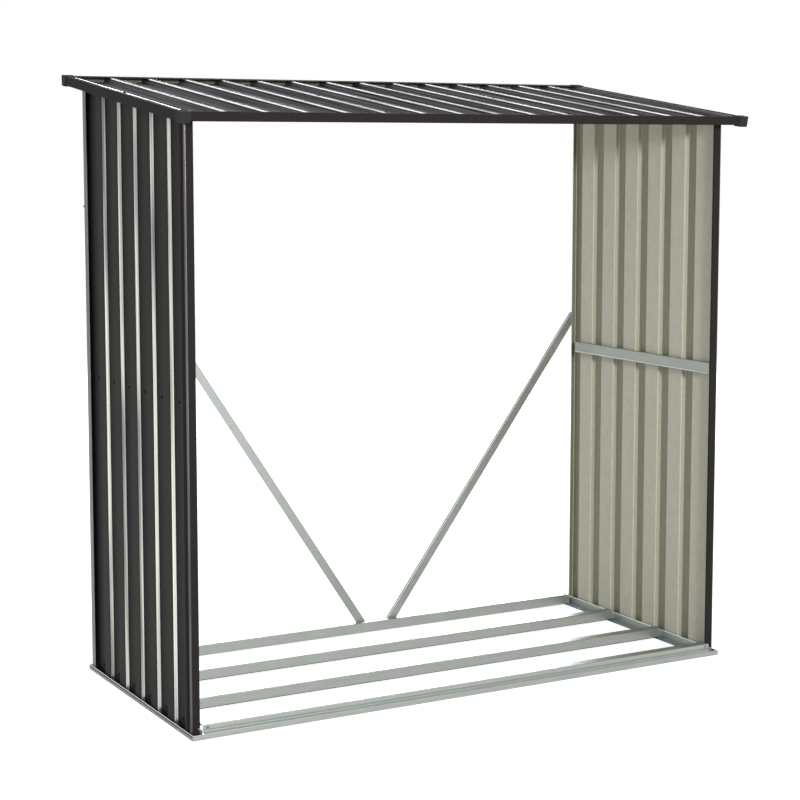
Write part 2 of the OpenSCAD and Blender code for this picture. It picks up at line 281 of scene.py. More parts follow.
# Each finish: its maker, its name, its colour in the sidebar, and what else its maker takes.
FINISHES = {
    "zinc_x": (galvanised_steel, "Galvanised_steel_along_X", "zinc", "X"),
    "zinc_y": (galvanised_steel, "Galvanised_steel_along_Y", "zinc", "Y"),
    # Near-white zinc: painted highlights on folds and lips.
    "bright": (galvanised_steel, "Galvanised_steel_rubbed_folds", "bright", "Y"),
    # Dark zinc: painted shade on lips, the front groove and the folds of rails and beams.
    "lip": (galvanised_steel, "Galvanised_steel_handled_lips", "lip", "Y"),
    # Blue-tinted zinc: a painted reflection of the sky on the side rails' bottom flanges.
    "seat": (galvanised_steel, "Galvanised_steel_wiped_seats", "seat", "Y"),
    "wall": (coil_coat, "Wall_coil_coat", "wall", 0.55, 0.08),
    "roof": (shade_lined_coat, "Roof_coil_coat", "roof"),
    "trim": (coil_coat, "Trim_coil_coat", "trim", 0.8, 0.05),
    "rake": (coil_coat, "Rake_trim_coil_coat", "rake", 0.7, 0.05),
    "back": (coil_coat, "Beige_back_coat", "back_coat", 0.5, 0.2),
    # The beige back coat darkened: painted shade in the wall ribs' hollows and inside the front posts.
    "hollow": (coil_coat, "Beige_back_coat_in_ribs", "hollow", 0.5, 0.2),
    # Dark olive: the beige back coat painted in shade, inside the roof trims and the back posts.
    "primer": (coil_coat, "Olive_primer", "primer", 0.6, 0.1),
    # The next three are pale metallic coats that paint highlights on wall flanks, roof rib edges and
    # post folds.
    "flank": (painted_highlight_coat, "Rolled_wall_flank", "flank", (3 * MM, 4 * MM, 2600 * MM), 0.5, 0.3),
    "crown": (painted_highlight_coat, "Rolled_roof_edge", "crown", (60 * MM, 1500 * MM, 60 * MM), 0.9, 0.45, SLOPE),
    "fold": (painted_highlight_coat, "Folded_post_edge", "fold", (2 * MM, 2 * MM, 900 * MM), 0.6, 0.6),
    "cap": (moulded_plastic, "Moulded_cap", "cap"),
    "painted_screw": (coil_coat, "Painted_screw", "wall", 0.6, 0.08),
    "screw": (zinc_screw, "Zinc_plated_screw", "screw"),
}
MATERIALS = {}


def finish(key):
    """The named finish, made once from the colours in the sidebar."""
    if key not in MATERIALS:
        maker, name, colour, *rest = FINISHES[key]
        colours = bpy.context.scene.log_store_colours
        MATERIALS[key] = maker(name, tuple(getattr(colours, colour)), *rest)
    return MATERIALS[key]


# ---- folded sheet ----------------------------------------

def folded(corners, gauge, radius, marks=(), steps=5):
    """Rounds a folded line. Gives (face point, back point, mark of the strip to the next).

    The back lies on the line's left for a gauge above 0 and on its right below 0. radius is
    each fold's inner radius. marks name the straights, in order; a fold is marked "before>after".
    """
    points = [Vector(c) for c in corners]
    stations = []

    def station(point, direction, mark):
        normal = Vector((-direction.y, direction.x))
        stations.append((point, point + normal * gauge, mark))

    directions = [(b - a).normalized() for a, b in zip(points, points[1:])]
    lengths = [(b - a).length for a, b in zip(points, points[1:])]
    names = list(marks) + [""] * (len(directions) - len(marks))
    station(points[0], directions[0], names[0])
    for i in range(1, len(points) - 1):
        before, after = directions[i - 1], directions[i]
        turn = math.atan2(before.x * after.y - before.y * after.x, before.dot(after))
        if abs(turn) < 1e-4:
            station(points[i], after, names[i])
            continue
        on_back = turn * gauge > 0
        bend = radius + (abs(gauge) if on_back else 0)
        room = 0.48 * min(lengths[i - 1], lengths[i])
        bend = min(bend, room / math.tan(abs(turn) / 2))
        if on_back:
            bend = max(bend, abs(gauge) * 1.02)
        start = points[i] - before * bend * math.tan(abs(turn) / 2)
        sign = math.copysign(1, turn)
        centre = start + Vector((-before.y, before.x)) * bend * sign
        for k in range(steps + 1):
            direction = before.copy()
            direction.rotate(Matrix.Rotation(turn * k / steps, 2))
            arm = Vector((-direction.y, direction.x)) * bend * sign
            station(centre - arm, direction, names[i] if k == steps else f"{names[i - 1]}>{names[i]}")
    station(points[-1], directions[-1], "")
    return stations


def mesh_of(bm, name):
    """Turns a bmesh into a mesh, and frees it."""
    mesh = bpy.data.meshes.new(name)
    bm.to_mesh(mesh)
    bm.free()
    return mesh


def linked(name, data):
    """Puts an object with this data into the scene."""
    made = bpy.data.objects.new(name, data)
    bpy.context.scene.collection.objects.link(made)
    return made


def piece(name, bm, materials, slot, *nodes):
    """Turns a bmesh into a piece that rides on the frame and stands for its CAD nodes."""
    bmesh.ops.recalc_face_normals(bm, faces=bm.faces)
    mesh = mesh_of(bm, name)
    for key in materials:
        mesh.materials.append(finish(key))
    made = linked(name, mesh)
    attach(made, "root")
    if nodes:
        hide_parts(*nodes)
    return made


def settle(made, angle=40):
    """Smooth shading round the folds, with the flats kept flat."""
    made.data.shade_smooth()
    made.data.set_sharp_from_angle(angle=math.radians(angle))
    weighted = made.modifiers.new("Weighted normals", "WEIGHTED_NORMAL")
    weighted.keep_sharp = True
    return made


def sweep(bm, stations, place, slots, edge):
    """Carries a folded profile from place(point, 0) to place(point, 1). slots maps a strip's
    mark to the materials of its face and its back; edge is the cut edges' material."""
    ends = [[[bm.verts.new(place(point, end)) for point in station[:2]] for station in stations]
            for end in (0, 1)]
    a, b = ends
    for i in range(len(stations) - 1):
        face_slot, back_slot = slots.get(stations[i][2], slots[""])
        for side, slot in ((0, face_slot), (1, back_slot)):
            quad = bm.faces.new((a[i][side], a[i + 1][side], b[i + 1][side], b[i][side]))
            quad.material_index = slot
        for end in ends:
            cap = bm.faces.new((end[i][0], end[i + 1][0], end[i + 1][1], end[i][1]))
            cap.material_index = edge
    for i in (0, len(stations) - 1):
        strip = bm.faces.new((a[i][0], b[i][0], b[i][1], a[i][1]))
        strip.material_index = edge


def block(bm, lo, hi):
    """Closed box between two corners."""
    centre, size = (Vector(lo) + Vector(hi)) / 2, Vector(hi) - Vector(lo)
    place = Matrix.Translation(centre) @ Matrix.Diagonal((*size, 1))
    made = bmesh.ops.create_cube(bm, size=1.0, matrix=place)
    return made["verts"]


def drill(bm, at, radius, depth):
    """Closed upright cylinder, centred."""
    bmesh.ops.create_cone(bm, cap_ends=True, segments=24, radius1=radius, radius2=radius,
                          depth=depth, matrix=Matrix.Translation(at))


def carve(made, cutter, edge):
    """Cuts a closed bmesh out of a piece; the cut faces take the material of index edge."""
    for face in cutter.faces:
        face.material_index = edge
    mesh = mesh_of(cutter, "cutter")
    tool = linked("cutter", mesh)
    for material in made.data.materials:
        mesh.materials.append(material)
    cut = made.modifiers.new("Cut", "BOOLEAN")
    cut.operation, cut.object, cut.solver = "DIFFERENCE", tool, "EXACT"
    graph = bpy.context.evaluated_depsgraph_get()
    result = bpy.data.meshes.new_from_object(made.evaluated_get(graph))
    if not result.polygons:
        raise RuntimeError(f"cutting {made.name} left nothing")
    made.modifiers.clear()
    old = made.data
    made.data = result
    bpy.data.meshes.remove(old)
    bpy.data.objects.remove(tool)
    bpy.data.meshes.remove(mesh)


def along_x(x0, x1):
    """Places a [y, z] profile from x0 to x1."""
    return lambda p, end: Vector((x1 if end else x0, p.x, p.y))


def along_y(y0, y1, side=1):
    """Places an [x, z] profile from y0 to y1, or its mirror image for side -1."""
    return lambda p, end: Vector((side * p.x, y1 if end else y0, p.y))


def in_fall(place):
    """The same placing, in the roof's sloping frame."""
    return lambda p, end: FALL @ place(p, end)


def upright(z0, side=1):
    """Stands an [x, y] profile from z0 up to the roof sheet."""
    return lambda p, end: Vector((side * p.x, p.y, roof_underside(p.y) if end else z0))


def span(side, near, far):
    """Two places along X in rising order, mirrored for side -1."""
    return sorted((side * near, side * far))


def rib_count(lo, hi):
    """How many whole ribs a wall between two corners has."""
    return int((hi.y - lo.y - LAP_FACE) / RIB_PITCH)


SIDES = {"left": 1, "right": -1}
ENDS = ("front", "back")
ALL_ZINC = {"": (0, 0)}


# ---- base frame ------------------------------------------

def front_base_rail(sizes):
    lo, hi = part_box("front_base_rail")
    foot, step, groove, groove_depth = 22 * MM, 5 * MM, 1.5 * MM, 1.8 * MM
    face, groove_at = lo.y + step, LIP + step
    corners = [
        (lo.y + foot, 0), (lo.y, 0), (lo.y, LIP), (face, groove_at),
        (face, groove_at + groove), (face + groove_depth, groove_at + 2 * groove),
        (face, groove_at + 3 * groove),
        (face, hi.z), (hi.y, hi.z), (hi.y, hi.z - FLANGE_TURN),
    ]
    bm = bmesh.new()
    marks = ["foot", "lip", "step", "web", "groove", "groove", "web", "top", "turn"]
    stations = folded(corners, -GAUGE, sizes.fold_radius, marks)
    # The groove and the fold at the top's turn take dark zinc: painted shade lines on real folds.
    sweep(bm, stations, along_x(lo.x, hi.x), {"": (0, 0), "groove": (1, 0), "top>turn": (1, 0)}, 0)
    made = piece("front_base_rail_folded", bm, ["zinc_x", "lip"], "galvanised_frame", "front_base_rail")
    upper_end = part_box("front_right_post")[0].x - 1 * MM
    behind_lip, seat_room = 1.2 * MM, 2 * MM
    cutter = bmesh.new()
    for side in (-1, 1):
        x0, x1 = span(side, upper_end, hi.x + PAST)
        block(cutter, (x0, lo.y - PAST / 2, LIP), (x1, hi.y + PAST / 2, hi.z + PAST / 2))
        x0, x1 = span(side, hi.x - SIDE_SEAT, hi.x + PAST)
        block(cutter, (x0, lo.y + behind_lip, -PAST / 2), (x1, hi.y + PAST / 2, seat_room))
    carve(made, cutter, 0)
    settle(made)


def back_base_rail(sizes):
    lo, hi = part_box("back_base_rail")
    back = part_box("back_left_post")[1].y
    corners = [(back, hi.z - FLANGE_TURN), (back, hi.z), (lo.y, hi.z), (lo.y, 0), (hi.y, 0), (hi.y, LIP)]
    bm = bmesh.new()
    sweep(bm, folded(corners, GAUGE, sizes.fold_radius), along_x(lo.x, hi.x), ALL_ZINC, 0)
    made = piece("back_base_rail_folded", bm, ["zinc_x"], "galvanised_frame", "back_base_rail")
    cutter = bmesh.new()
    beam_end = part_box("front_floor_beam")[1].x
    behind_lip = 1.2 * MM
    for side in (-1, 1):
        x0, x1 = span(side, beam_end, hi.x + PAST)
        block(cutter, (x0, lo.y - PAST / 2, -PAST / 2), (x1, hi.y - behind_lip, hi.z + PAST / 2))
    carve(made, cutter, 0)
    settle(made)


def side_base_rail(name, side):
    lo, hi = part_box("left_base_rail")
    web, fold_gap, hem_gap, tight = lo.x + 22 * MM, 2.6 * MM, 2.4 * MM, 0.5 * MM
    groove_at, groove, groove_depth = 4 * MM, 1.2 * MM, 1.6 * MM
    corners = [
        (hi.x, 0), (web + fold_gap, 0), (web + fold_gap, hi.z), (web, hi.z), (web, 0), (lo.x, 0),
        (lo.x, groove_at), (lo.x + groove_depth, groove_at + groove), (lo.x, groove_at + 2 * groove),
        (lo.x, LIP), (lo.x + hem_gap, LIP), (lo.x + hem_gap, LIP - HEM),
    ]
    bm = bmesh.new()
    marks = ["seat", "web", "fold", "web", "seat", "lip", "groove", "groove", "lip", "fold"]
    stations = folded(corners, -GAUGE, tight, marks)
    # The lip's outer face takes dark zinc: painted shade.
    # The seat's back takes blue-tinted zinc: a painted sky reflection.
    slots = {"": (0, 0), "seat": (0, 2), "lip": (1, 0)}
    # The folds take near-white zinc: painted highlights.
    for bright in ("fold", "web>fold", "fold>web", "lip>fold"):
        slots[bright] = (3, 3)
    sweep(bm, stations, along_y(lo.y, hi.y, side), slots, 0)
    made = piece(f"{name}_folded", bm, ["zinc_y", "lip", "seat", "bright"], "galvanised_frame", name)
    cutter = bmesh.new()
    anchors = frame_mount("anchors")
    x, y, radius = (anchors[key] * MM for key in ("spacing_x_mm", "spacing_y_mm", "hole_r_mm"))
    for end in (-1, 1):
        drill(cutter, (-side * x / 2, end * y / 2, 0), radius, PAST)
    carve(made, cutter, 0)
    settle(made)


def frame_mount(name):
    """The stated dimensions of one of the record's mounts."""
    return next(m["dims"] for m in frame["record"]["mounts"] if m["name"] == name)


def floor_beam(name, sizes):
    lo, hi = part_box(name)
    foot = lo.y + 14 * MM
    corners = [(hi.y, hi.z - FLANGE_TURN), (hi.y, hi.z), (lo.y, hi.z), (lo.y, lo.z), (foot, lo.z)]
    bm = bmesh.new()
    stations = folded(corners, GAUGE, sizes.fold_radius, ["turn", "top", "web", "foot"])
    # The folds into the foot and the top take dark zinc: painted shade lines.
    sweep(bm, stations, along_x(lo.x, hi.x), {"": (0, 0), "web>foot": (1, 0), "turn>top": (1, 0)}, 0)
    settle(piece(f"{name}_folded", bm, ["zinc_x", "lip"], "galvanised_frame", name))


# ---- walls -----------------------------------------------

def wall_sheet(name, side, sizes):
    """One ribbed wall: it starts on a rib's face at one upright edge and ends flat at the other."""
    lo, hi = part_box("left_wall_sheet")
    crest, pan = lo.x, hi.x - CAD_SKIN
    start, way = (lo.y, 1) if side == 1 else (hi.y, -1)
    finish_y = hi.y if side == 1 else lo.y
    lean = (RIB_FOOT - RIB_FACE) / 2
    corners = [(crest, start), (crest, start + way * LAP_FACE), (pan, start + way * (LAP_FACE + lean))]
    marks = ["crest", "flank", "pan"]
    for i in range(1, rib_count(lo, hi) + 1):
        at = start + way * (LAP_FACE - RIB_FACE / 2 + i * RIB_PITCH)
        corners += [
            (pan, at - way * RIB_FOOT / 2), (crest, at - way * RIB_FACE / 2),
            (crest, at + way * RIB_FACE / 2), (pan, at + way * RIB_FOOT / 2),
        ]
        marks += ["flank", "crest", "flank", "pan"]
    corners.append((pan, finish_y))
    # Flank faces take the pale flank coat: painted highlights.
    # The backs of flanks and crests take the darker back coat: painted shade in the rib hollows.
    slots = {"": (0, 1), "flank": (2, 4), "crest": (0, 4)}
    bm = bmesh.new()
    stations = folded(corners, -way * SKIN, sizes.rib_radius, marks)
    sweep(bm, stations, upright(lo.z, side), slots, 3)
    made = piece(f"{name}_ribbed", bm, ["wall", "back", "flank", "zinc_y", "hollow"], "wall_sheet", name)
    settle(made)


def post(name, side, sizes):
    lo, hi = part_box(name.replace("right", "left"))
    front = "front" in name
    face, back, way = (lo.y, hi.y, 1) if front else (hi.y, lo.y, -1)
    turned_in = face + way * 5 * MM
    corners = [(hi.x, turned_in), (hi.x, face), (lo.x, face), (lo.x, back)]
    bm = bmesh.new()
    stations = folded(corners, -way * GAUGE, sizes.post_radius, ["return", "face", "leg"])
    # On the front posts the face's back takes the darker back coat: painted shade.
    # The fold into the leg takes the pale fold coat: a painted highlight.
    slots = {"": (0, 1), "face": (0, 4), "return>face": (0, 4), "face>leg": (2, 1)}
    if not front:
        # On the back posts the whole leg takes the fold coat: a painted highlight.
        slots.update({"return": (1, 1), "return>face": (1, 4), "leg": (2, 1)})
    sweep(bm, stations, upright(lo.z, side), slots, 3)
    # On the back posts the face's back takes dark olive instead: painted shade.
    finishes = ["trim", "back", "fold", "zinc_y", "hollow" if front else "primer"]
    made = piece(f"{name}_folded", bm, finishes, "trim", name)
    rail_lo, rail_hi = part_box("left_base_rail")
    notch_from, room_above = rail_lo.x + 19.8 * MM, 1 * MM
    x0, x1 = span(side, notch_from, hi.x + PAST)
    cutter = bmesh.new()
    block(cutter, (x0, lo.y - PAST, -PAST), (x1, hi.y + PAST, rail_hi.z + room_above))
    carve(made, cutter, 3)
    settle(made)


def wall_rail_corners(lo, hi):
    """Channel against the wall: lip towards the room, face, top, and a leg down the wall."""
    face, leg, bottom = hi.x - 4 * MM, hi.z - 6 * MM, lo.z + GAUGE
    return [(hi.x, bottom), (face, bottom), (face, hi.z), (lo.x, hi.z), (lo.x, leg)]


def mid_rail(name, side, sizes):
    lo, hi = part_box("left_mid_rail")
    bm = bmesh.new()
    stations = folded(wall_rail_corners(lo, hi), GAUGE, sizes.fold_radius, ["lip", "face"])
    # The lip takes near-white zinc: a painted highlight.
    sweep(bm, stations, along_y(lo.y, hi.y, side), {"": (0, 0), "lip": (1, 1), "lip>face": (1, 1)}, 0)
    settle(piece(f"{name}_folded", bm, ["zinc_y", "bright"], "galvanised_frame", name))


def top_rail(name, side, sizes):
    lo, hi = fall_box("left_top_rail")
    bm = bmesh.new()
    stations = folded(wall_rail_corners(lo, hi), GAUGE, sizes.fold_radius)
    sweep(bm, stations, in_fall(along_y(lo.y, hi.y, side)), ALL_ZINC, 0)
    settle(piece(f"{name}_folded", bm, ["zinc_y"], "galvanised_frame", name))


def brace(name):
    """Flat strip with one turned edge, on the slant between its foot and a back post."""
    lo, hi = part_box(name)
    width, lip = 25 * MM, hi.y - lo.y
    box_w, box_h = hi.x - lo.x, hi.z - lo.z
    angle = math.atan2(box_h, box_w)
    for _ in range(20):     # the strip's width and its slant depend on each other
        angle = math.atan2(box_h - width * math.cos(angle), box_w - width * math.sin(angle))
    length = (box_w - width * math.sin(angle)) / math.cos(angle)
    lean = 1 if name == "right_brace" else -1
    centre = (lo + hi) / 2
    turn = Matrix.Rotation(-angle, 4, "Y") if lean == 1 else Matrix.Rotation(angle, 4, "Y")
    spot = Matrix.Translation((centre.x, lo.y, centre.z)) @ turn
    corners, fold = [(0, -width / 2), (0, width / 2), (lip, width / 2)], 1.2 * MM
    bm = bmesh.new()
    stations = folded(corners, -GAUGE, fold)
    sweep(bm, stations, lambda p, end: spot @ Vector(((end - 0.5) * length, p.x, p.y)), ALL_ZINC, 0)
    settle(piece(f"{name}_strip", bm, ["zinc_x"], "galvanised_frame", name))
    return spot, length


# ---- roof ------------------------------------------------

def roof_rail(name, sizes):
    lo, hi = fall_box(name)
    front = name.startswith("front")
    face, back = (lo.y, hi.y) if front else (hi.y, lo.y)
    corners = [(back, lo.z), (face, lo.z), (face, hi.z), (back, hi.z), (back, hi.z - FLANGE_TURN)]
    bm = bmesh.new()
    stations = folded(corners, -GAUGE if front else GAUGE, sizes.fold_radius)
    sweep(bm, stations, in_fall(along_x(lo.x, hi.x)), ALL_ZINC, 0)
    settle(piece(f"{name}_folded", bm, ["zinc_x"], "galvanised_frame", name))


def swage_corners(x0, x1, z, sizes):
    """Small stiffening ridges across a flat pan from x0 to x1."""
    count, width, height = sizes.swage_count, 6 * MM, sizes.swage_height
    corners = []
    for i in range(count):
        at = x0 + (x1 - x0) * (i + 0.5) / count
        corners += [(at - width / 2, z), (at - width / 5, z + height)]
        corners += [(at + width / 5, z + height), (at + width / 2, z)]
    return corners


def roof_sheet(name, sizes):
    lo, hi = fall_box(name)
    first, last = ROOF_SHEETS[name]
    crown, pan, crown_fold, shadowed = hi.z, lo.z + CAD_SKIN, 2.8 * MM, 0.3
    corners, marks = [(lo.x, crown)], ["crown" if first else "first crown"]
    for i in range(first, last + 1):
        x = rib_x(i)
        if i > first:
            foot, edge = Vector((x - CROWN_FOOT / 2, pan)), Vector((x - CROWN / 2, crown))
            corners += [foot, edge.lerp(foot, shadowed), edge]
            marks += ["rise", "under edge" if i < ROOF_RIBS - 1 else "last rise", "crown"]
        if i < last:
            corners += [(x + CROWN / 2, crown), (x + CROWN_FOOT / 2, pan)]
            marks += ["drop", "pan"]
            ridges = swage_corners(x + CROWN_FOOT / 2, rib_x(i + 1) - CROWN_FOOT / 2, pan, sizes)
            corners += ridges
            marks += ["swage", "swage", "swage", "pan"] * (len(ridges) // 4)
    corners.append((hi.x, crown))
    stations = folded(corners, -SKIN, crown_fold, marks, steps=3)
    bm = bmesh.new()
    # The strip under each rib's upper edge, all but the last, takes the dark wall coat: painted shade.
    slots = {"": (0, 1), "under edge": (4, 1)}
    # The ribs' upper edges take the near-white crown coat: painted highlights.
    for bright in ("under edge>crown", "crown>drop", "first crown", "first crown>drop"):
        slots[bright] = (2, 1)
    sweep(bm, stations, in_fall(along_y(lo.y, hi.y)), slots, 3)
    made = piece(f"{name}_ribbed", bm, ["roof", "back", "crown", "zinc_y", "wall"], "roof_sheet", name)
    settle(made, 30)


def rake_trim(name, side, sizes):
    lo, hi = fall_box("left_rake_trim")
    flange, turned_up = lo.x + 14 * MM, lo.z + 6 * MM
    corners = [(flange, hi.z), (lo.x, hi.z), (lo.x, lo.z), (hi.x, lo.z), (hi.x, turned_up)]
    bm = bmesh.new()
    stations = folded(corners, GAUGE, sizes.fold_radius)
    sweep(bm, stations, in_fall(along_y(lo.y, hi.y, side)), {"": (0, 1)}, 0)
    # The trim's inside takes dark olive: painted shade.
    settle(piece(f"{name}_folded", bm, ["rake", "primer"], "trim", name))


def edge_trim(name, sizes):
    """Front fascia or back trim: a channel round the roof sheet's ends."""
    lo, hi = fall_box(name)
    front = name.startswith("front")
    face, way = (lo.y, 1) if front else (hi.y, -1)
    foot = face + way * 28 * MM
    flange = (14 if front else 36) * MM
    corners = [(face + way * flange, hi.z), (face, hi.z), (face, lo.z), (foot, lo.z), (foot, UNDER)]
    bm = bmesh.new()
    stations = folded(corners, way * GAUGE, sizes.fold_radius)
    sweep(bm, stations, in_fall(along_x(lo.x, hi.x)), {"": (0, 1)}, 0)
    # The trim's inside takes dark olive: painted shade.
    settle(piece(f"{name}_folded", bm, ["trim", "primer"], "trim", name))


def corner_cap(name, side):
    """Moulded cap, a little narrower at its foot, with a small catch ridge on top."""
    front = name.startswith("front")
    lo, hi = fall_box("front_left_cap" if front else "back_left_cap")
    deck, wall = hi.z - 1 * MM, 1.6 * MM
    outer_taper, inner_taper = 1.2 * MM, 4 * MM
    ridge_inset, ridge_half, ridge_root = 5 * MM, 3.5 * MM, deck - 1 * MM
    middle_x, middle_y = (lo.x + hi.x) / 2, (lo.y + hi.y) / 2
    inset = (outer_taper, -inner_taper) if front else (inner_taper, -outer_taper)

    def into_place(vertices):
        for vertex in vertices:
            vertex.co = FALL @ vertex.co
            vertex.co.x *= side

    bm = bmesh.new()
    for vertex in block(bm, lo, (hi.x, hi.y, deck)):
        if vertex.co.z < (lo.z + deck) / 2:
            vertex.co.x += outer_taper if vertex.co.x < middle_x else -inner_taper
            vertex.co.y += inset[0] if vertex.co.y < middle_y else inset[1]
    bmesh.ops.bevel(bm, geom=bm.edges[:], offset=1 * MM, segments=3, affect="EDGES", profile=0.5)
    into_place(bm.verts)
    made = piece(f"{name}_moulded", bm, ["cap"], "cap", name)
    cutter = bmesh.new()
    y0, y1 = (lo.y + wall, hi.y + PAST) if front else (lo.y - PAST, hi.y - wall)
    into_place(block(cutter, (lo.x + wall, y0, lo.z + wall), (hi.x + PAST, y1, deck - wall)))
    bmesh.ops.recalc_face_normals(cutter, faces=cutter.faces)
    carve(made, cutter, 0)
    # The ridge goes on after the cut: a cut through two closed shells can lose one of them.
    bm = bmesh.new()
    ridge = block(bm, (lo.x + ridge_inset, middle_y - ridge_half, ridge_root),
                  (hi.x - ridge_inset, middle_y + ridge_half, hi.z))
    for vertex in ridge:
        if vertex.co.z > deck:
            vertex.co.y = middle_y + (vertex.co.y - middle_y) / 2
    into_place(ridge)
    bm.normal_update()
    bmesh.ops.recalc_face_normals(bm, faces=bm.faces)
    bm.from_mesh(made.data)
    bm.to_mesh(made.data)
    bm.free()
    settle(made, 35)


# ---- screws ----------------------------------------------

# Each group of screws and the slot of what it holds.
SCREW_SLOTS = {"base_screws": "galvanised_frame", "wall_screws": "wall_sheet", "post_screws": "trim",
               "roof_screws": "roof_sheet"}


def screw_head(sizes):
    """Pan head with a cross recess on a washer, its seat at z = 0."""
    radius = sizes.screw_head / 2
    outline = [
        (0, 2.6 * MM), (0.45 * radius, 2.5 * MM), (0.75 * radius, 2.1 * MM), (0.95 * radius, 1.4 * MM),
        (radius, 0.8 * MM), (1.35 * radius, 0.75 * MM), (1.4 * radius, 0.0), (0, 0),
    ]
    bm = bmesh.new()
    loop = [bm.verts.new((x, 0, z)) for x, z in outline]
    edges = [bm.edges.new(pair) for pair in zip(loop, loop[1:])]
    bmesh.ops.spin(bm, geom=loop + edges, cent=(0, 0, 0), axis=(0, 0, 1), angle=math.tau, steps=16,
                   use_duplicate=False)
    bmesh.ops.remove_doubles(bm, verts=bm.verts, dist=1e-6)
    bmesh.ops.recalc_face_normals(bm, faces=bm.faces)
    head = linked("screw", mesh_of(bm, "screw"))
    arm, slot = 0.55 * radius, 0.7 * MM
    for x, y in ((arm, slot / 2), (slot / 2, arm)):
        cutter = bmesh.new()
        block(cutter, (-x, -y, 1.4 * MM), (x, y, 4 * MM))
        carve(head, cutter, 0)
    mesh = head.data
    bpy.data.objects.remove(head)
    return mesh


def screw_places():
    """Each group of screws as (point, outward direction) pairs, by the name of its piece."""
    up = Vector((0, 0, 1))
    groups = {name: [] for name in SCREW_SLOTS}
    base, walls, posts, roof = groups.values()
    from_end, rail_height, post_inset, web_step = 10 * MM, 28 * MM, 11 * MM, 5 * MM
    front_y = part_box("front_base_rail")[0].y + web_step
    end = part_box("front_right_post")[0].x - 12 * MM
    for x in (-end, end):
        base.append((Vector((x, front_y, rail_height)), Vector((0, -1, 0))))
    for beam in ("front_floor_beam", "back_floor_beam"):
        lo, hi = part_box(beam)
        for x in (lo.x + from_end, hi.x - from_end):
            base.append((Vector((x, (lo.y + hi.y) / 2, hi.z)), up))
    beam_end = hi.x - from_end
    lo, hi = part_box("back_base_rail")
    for x in (-beam_end, beam_end):
        base.append((Vector((x, lo.y + from_end, hi.z)), up))
    lo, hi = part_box("left_wall_sheet")
    pan_middle = LAP_FACE + 34.5 * MM
    for side in SIDES.values():
        start, way = (lo.y, 1) if side == 1 else (hi.y, -1)
        for i in range(rib_count(lo, hi) + 1):
            y = start + way * (pan_middle + i * RIB_PITCH)
            for z in (rail_height, MID_HEIGHT, roof_underside(y) - 17 * MM):
                walls.append((Vector((side * (hi.x - CAD_SKIN), y, z)), Vector((-side, 0, 0))))
    for post_name in ("front_left_post", "front_right_post", "back_left_post", "back_right_post"):
        lo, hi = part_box(post_name)
        y, out = (lo.y, -1) if post_name.startswith("front") else (hi.y, 1)
        x = lo.x + post_inset if "left" in post_name else hi.x - post_inset
        for z in (48 * MM, MID_HEIGHT, roof_underside(y) - 60 * MM):
            posts.append((Vector((x, y, z)), Vector((0, out, 0))))
    lo, hi = fall_box("middle_roof_sheet")
    for rib in (0, 5, 10, 15):
        for share in (0.045, 0.5, 0.955):
            at = Vector((rib_x(rib), lo.y + (hi.y - lo.y) * share, hi.z))
            roof.append((FALL @ at, FALL.to_3x3() @ up))
    return groups


def place_screws(name, places, head, slot, coat):
    """Joins one group of screws into a single mesh."""
    bm = bmesh.new()
    for index, (point, outward) in enumerate(places):
        turn = Vector((0, 0, 1)).rotation_difference(outward).to_matrix().to_4x4()
        spin = Matrix.Rotation(SCREW_TURN * index, 4, "Z")
        part = bmesh.new()
        part.from_mesh(head)
        part.transform(Matrix.Translation(point) @ turn @ spin)
        copy = mesh_of(part, "copy")
        bm.from_mesh(copy)
        bpy.data.meshes.remove(copy)
    settle(piece(name, bm, [coat], slot), 30)


# ---- stage -----------------------------------------------

CAMERA_PLACE = (-2.4476, -4.3545, 1.3993)
CAMERA_DOWN, CAMERA_RIGHT = math.radians(6.272), math.radians(29.090)
CAMERA_LENS, SENSOR, CAMERA_SHIFT, SIGHT = 84.39, 36.0, -0.06, 200.0
FLOOR_HALF, FLOOR_DROP = 30.0, 0.5 * MM
WHITE, FLOOR_GREY = (1, 1, 1, 1), (0.8, 0.8, 0.8, 1)
LIT_MIDDLE = (0, 0, 0.75)
# Each softbox: its place, width and height.
KEY_BOX = ((-0.9, -8.2, 2.6), 0.9, 0.9)
RIM_BOX = ((3.4, 6.0, 2.4), 4.0, 2.4)


def seen_directly(tree):
    """1 for camera, glossy and transmission rays, 0 for light that falls on the object."""
    path = add(tree, "LightPath")
    seen = path.outputs["Is Camera Ray"]
    for name in ("Is Glossy Ray", "Is Transmission Ray"):
        seen = add(tree, "Math", {0: seen, 1: path.outputs[name]}, operation="MAXIMUM")
    return seen


def white_world(stage):
    world = bpy.data.worlds.new("Soft_white_room")
    bpy.context.scene.world = world
    tree = emptied(world)
    strength = add(tree, "MapRange", {
        "Value": seen_directly(tree), "To Min": stage.room_light, "To Max": 1.0})
    light = add(tree, "Background", {"Color": WHITE, "Strength": strength})
    add(tree, "OutputWorld", {"Surface": light})


def pale_floor(stage):
    material = bpy.data.materials.new("Pale_studio_floor")
    tree = emptied(material)
    matt = add(tree, "BsdfDiffuse", {"Color": FLOOR_GREY})
    strength = add(tree, "MapRange", {"Value": seen_directly(tree), "To Max": stage.floor_lift})
    lift = add(tree, "Emission", {"Color": WHITE, "Strength": strength})
    total = add(tree, "AddShader", {0: matt, 1: lift})
    add(tree, "OutputMaterial", {"Surface": total})
    bm = bmesh.new()
    bmesh.ops.create_grid(bm, x_segments=1, y_segments=1, size=FLOOR_HALF)
    mesh = mesh_of(bm, "floor")
    mesh.materials.append(material)
    floor = linked("floor", mesh)
    floor.location.z = -FLOOR_DROP


